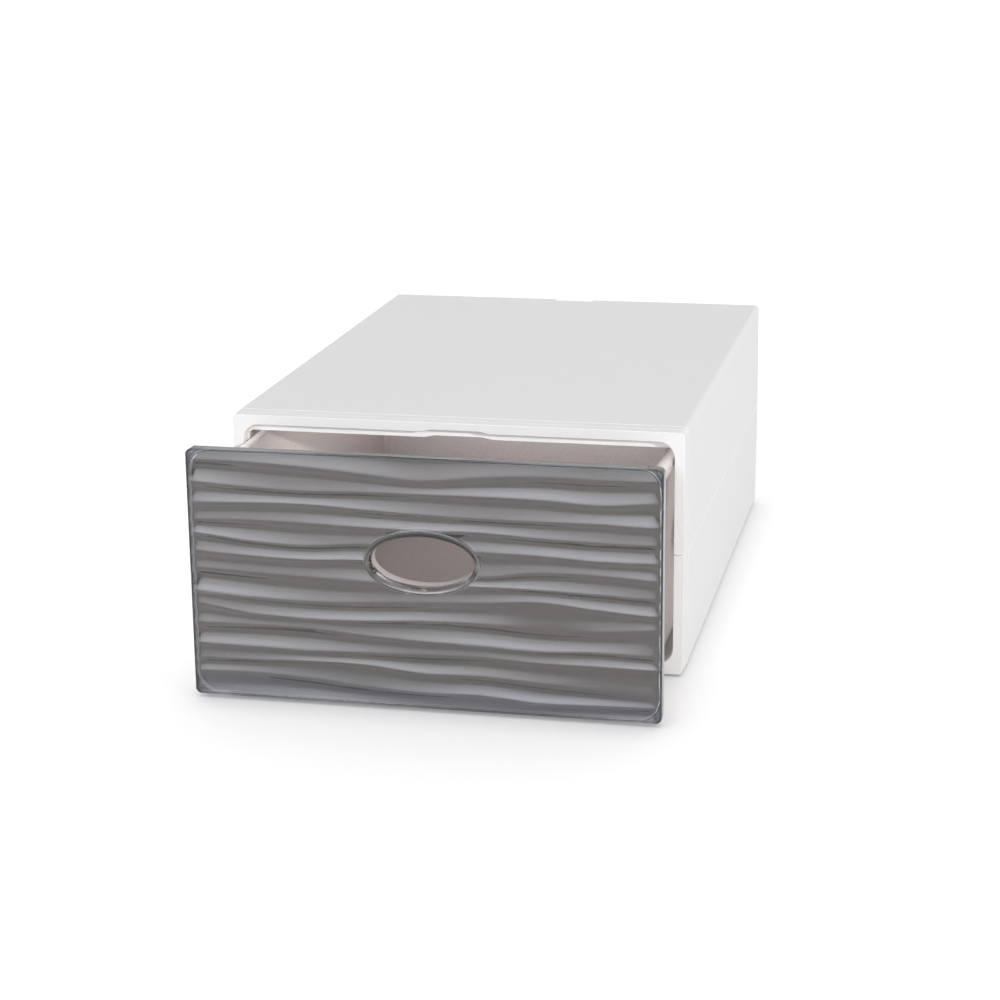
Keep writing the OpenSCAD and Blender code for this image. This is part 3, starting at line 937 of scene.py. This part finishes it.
def room():
    world = bpy.data.worlds.new("room")
    scene.world = world
    world.use_nodes = True
    tree = world.node_tree
    strength, front = room_strength(Value(tree).node("ShaderNodeTexCoord", "Generated"))
    lit = tree.nodes["Background"]
    feed(strength, lit, "Strength")
    feed(tinted(front, (1, 1, 1), FRONT_TINT), lit, "Color")
    camera_ray = Value(tree).node("ShaderNodeLightPath", "Is Camera Ray")
    clear_ray = Value(tree, camera_ray.socket.node.outputs["Is Transmission Ray"])
    white_wall = camera_ray.node("ShaderNodeBackground", 0, Color=(1, 1, 1, 1), Strength=1.0)
    seen = greatest(camera_ray, clear_ray)
    mixed = seen.node("ShaderNodeMixShader", 0, _0=seen, _1=Value(tree, lit.outputs[0]), _2=white_wall)
    feed(mixed, tree.nodes["World Output"], "Surface")
    print("room made with", len(tree.nodes), "nodes")


room()

# %% [markdown]
# One smaller lamp in front on the right draws the slanting shadow edge on the drawer's left inner wall. It
# gives no gloss, so no white patch of it lies on the roof. The inside of the drawer is nearly as bright as
# the outside, so weak lamps hang in the cabinet and shine on its walls. Neither the camera nor a reflection
# sees them, and their spread is narrowed, so that they mostly light what they point at.


# %% Lamps
def soft_box(name, place, target, width, height, power):
    lamp = bpy.data.lights.new(name, "AREA")
    lamp.shape = "RECTANGLE"
    lamp.size = width
    lamp.size_y = height
    lamp.energy = power
    made = bpy.data.objects.new(name, lamp)
    scene.collection.objects.link(made)
    made.location = Vector(place)
    made.rotation_euler = (Vector(target) - Vector(place)).to_track_quat("-Z", "Y").to_euler()
    made.visible_glossy = False
    return made


INNER_SPREAD = math.radians(110)


def inner_fill(name, place, target, width, height, power):
    made = soft_box(name, place, target, width, height, power)
    made.visible_camera = False
    made.visible_transmission = False
    made.data.spread = INNER_SPREAD


key = soft_box("key_light", (5.79, -7.1, 2.71), (0, -0.2, 0.1), 0.36, 0.36, 490)
inner_fill("towards_back", (0, 0.0, 0.13), (0, 0.1, 0.115), 0.22, 0.02, 0.056)
inner_fill("under_roof", (0, -0.04, 0.1415), (0, -0.04, 0), 0.25, 0.2, 0.022)
inner_fill("towards_lip", (0, -0.1985, 0.1455), (0, -0.1, 0.1455), 0.26, 0.004, 0.002)
for side in (-1, 1):
    inner_fill("over_rim", (side * 0.1318, -0.18, 0.1415), (side * 0.1318, -0.18, 0), 0.005, 0.16, 0.0022)
    inner_fill("towards_side", (side * 0.05, -0.06, 0.13), (side * 0.13, -0.06, 0.12), 0.26, 0.02, 0.034)
    inner_fill("beside_drawer", (side * 0.1395, -0.05, 0.07), (0, -0.05, 0.07), 0.28, 0.12, 0.06)
print("lamps:", len(bpy.data.lights))

# %% [markdown]
# The floor is white card. What the camera and the clear cover see of it is a little brighter than the card
# that lights the box from below, so the page stays white round a real soft shadow. Close to the box an
# ambient occlusion node paints the card darker: painted shade, where the floor lies in the narrow corner
# under an edge.

# %% Floor
FLOOR_SIZE = 30.0
FLOOR_GREY = 0.93
FLOOR_SEEN = 0.98
FLOOR_GLOW = 0.315
FLOOR_CORNER_SHADE = 0.35
CORNER_REACH = 0.03


def grey(level):
    return (level,) * 3


def card():
    material, shader, place = new_finish("floor")
    camera_ray = place.node("ShaderNodeLightPath", "Is Camera Ray")
    others = [camera_ray.socket.node.outputs[name] for name in ("Is Glossy Ray", "Is Transmission Ray")]
    seen = greatest(camera_ray, *[Value(place.tree, socket) for socket in others])
    # Painted shade: the card is darkened close to the box by ambient occlusion.
    free = place.node("ShaderNodeAmbientOcclusion", "AO", {"samples": 16}, Distance=CORNER_REACH)
    shown = tinted(free, grey(FLOOR_SEEN * (1 - FLOOR_CORNER_SHADE)), grey(FLOOR_SEEN))
    glow = tinted(free, grey(FLOOR_GLOW * (1 - FLOOR_CORNER_SHADE)), grey(FLOOR_GLOW))
    feed(tinted(seen, grey(FLOOR_GREY), shown), shader, "Base Color")
    feed(tinted(seen, grey(0.0), glow), shader, "Emission Color")
    constants(shader, Roughness=0.9, Specular_IOR_Level=0.0, Emission_Strength=1.0)
    return report(material)


def floor():
    bm = bmesh.new()
    bmesh.ops.create_grid(bm, x_segments=1, y_segments=1, size=FLOOR_SIZE / 2)
    mesh = bpy.data.meshes.new("floor")
    bm.to_mesh(mesh)
    bm.free()
    mesh.materials.append(card())
    plane = bpy.data.objects.new("floor", mesh)
    scene.collection.objects.link(plane)
    return plane


# %% [markdown]
# The key lamp leaves the floor out, so the box keeps a soft shadow round its foot and throws no long hard
# one. Light linking does that: the lamp gets a collection, and the floor's entry in it says to exclude it.

# %% Keep the key lamp off the floor
not_for_key = bpy.data.collections.new("not_for_key")
not_for_key.objects.link(floor())
not_for_key.collection_objects[0].light_linking.link_state = "EXCLUDE"
key.light_linking.receiver_collection = not_for_key

# %% [markdown]
# Last comes the plain view transform, which shows colours as they are written.

# %% Finish
scene.view_settings.view_transform = "Standard"
